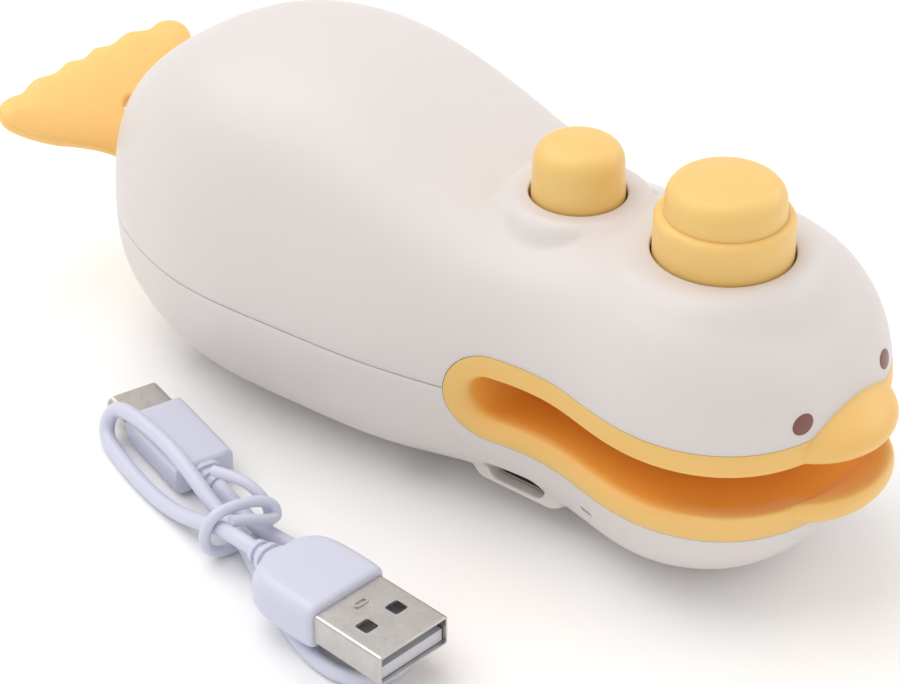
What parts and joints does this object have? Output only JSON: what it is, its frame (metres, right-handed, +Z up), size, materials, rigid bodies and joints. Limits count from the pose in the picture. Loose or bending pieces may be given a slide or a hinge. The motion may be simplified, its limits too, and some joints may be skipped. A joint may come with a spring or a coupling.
{
  "type": "handheld bag heat sealer",
  "caption": "Duck-shaped handheld bag heat sealer with a slot mouth, a press-down sealing button, a cutter button, a charging port and a short charging lead lying beside it.",
  "frame": {"origin": "on the table, under the middle of the duck's bounding box, without the loose lead", "axes": "+X from the tail to the beak, +Y to the duck's left, +Z up"},
  "size_m": [0.1446, 0.0832, 0.055],
  "materials": {
    "white_shell": "satin moulded plastic, warm off-white",
    "yellow_trim": "satin moulded plastic, butter yellow",
    "yellow_button": "satin moulded plastic, butter yellow",
    "tail_rubber": "soft matte silicone, butter yellow",
    "eye_brown": "smooth dark brown",
    "pad_silicone": "heat-proof silicone, orange-brown",
    "light_clear": "translucent light pipe",
    "screw_steel": "zinc-plated steel",
    "port_steel": "stamped steel",
    "tongue_black": "black moulded plastic",
    "board_green": "solder-masked circuit board",
    "cell_wrap": "shrink wrap over a steel can",
    "inner_white": "plain moulded plastic",
    "wire_red": "silicone wire",
    "holder_black": "glass-filled heat-proof plastic",
    "heat_strip": "nickel-chromium ribbon",
    "film_tan": "PTFE-coated glass cloth",
    "spring_steel": "spring wire",
    "blade_steel": "ground steel",
    "usb_steel": "stamped nickel-plated steel",
    "lead_white": "smooth white PVC",
    "insert_white": "white moulded plastic",
    "foot_rubber": "translucent silicone"
  },
  "bodies": {
    "casing": {"upper_shell": "white_shell", "lower_shell": "white_shell", "mouth_liner": "yellow_trim", "eye_left": "eye_brown", "eye_right": "eye_brown", "anvil_pad": "pad_silicone", "charge_light": "light_clear", "tail_loop": "tail_rubber", "casing_screws": "screw_steel", "base_feet": "foot_rubber", "port_shell": "port_steel", "port_tongue": "tongue_black", "control_board": "board_green", "battery_cell": "cell_wrap", "battery_cradle": "inner_white", "battery_wires": "wire_red", "guide_frame": "inner_white", "seal_switch": "holder_black", "seal_spring": "spring_steel", "cutter_spring": "spring_steel"},
    "seal_press": {"seal_button": "yellow_button", "plunger_stem": "inner_white", "heater_holder": "holder_black", "heating_strip": "heat_strip", "heater_film": "film_tan"},
    "cutter": {"cutter_button": "yellow_button", "blade_carrier": "holder_black", "cutter_blade": "blade_steel"},
    "charging_lead": {"usb_a_shell": "usb_steel", "usb_a_insert": "insert_white", "usb_a_body": "lead_white", "usb_c_shell": "usb_steel", "usb_c_body": "lead_white", "lead_cord": "lead_white", "lead_tie": "lead_white"}
  },
  "joints": [
    {"name": "seal_press_travel", "type": "slide", "parent": "casing", "child": "seal_press", "axis": [0, 0, -1], "range_m": [0, 0.0062], "stiffness_N_per_m": 450, "springref_m": -0.002, "deforming": ["seal_spring"]},
    {"name": "cutter_travel", "type": "slide", "parent": "casing", "child": "cutter", "axis": [0, 0, -1], "range_m": [0, 0.0072], "stiffness_N_per_m": 300, "springref_m": -0.002, "deforming": ["cutter_spring"]},
    {"name": "lead_lift", "type": "slide", "parent": "casing", "child": "charging_lead", "axis": [0, 0, 1], "range_m": [0, 0.08]}
  ]
}
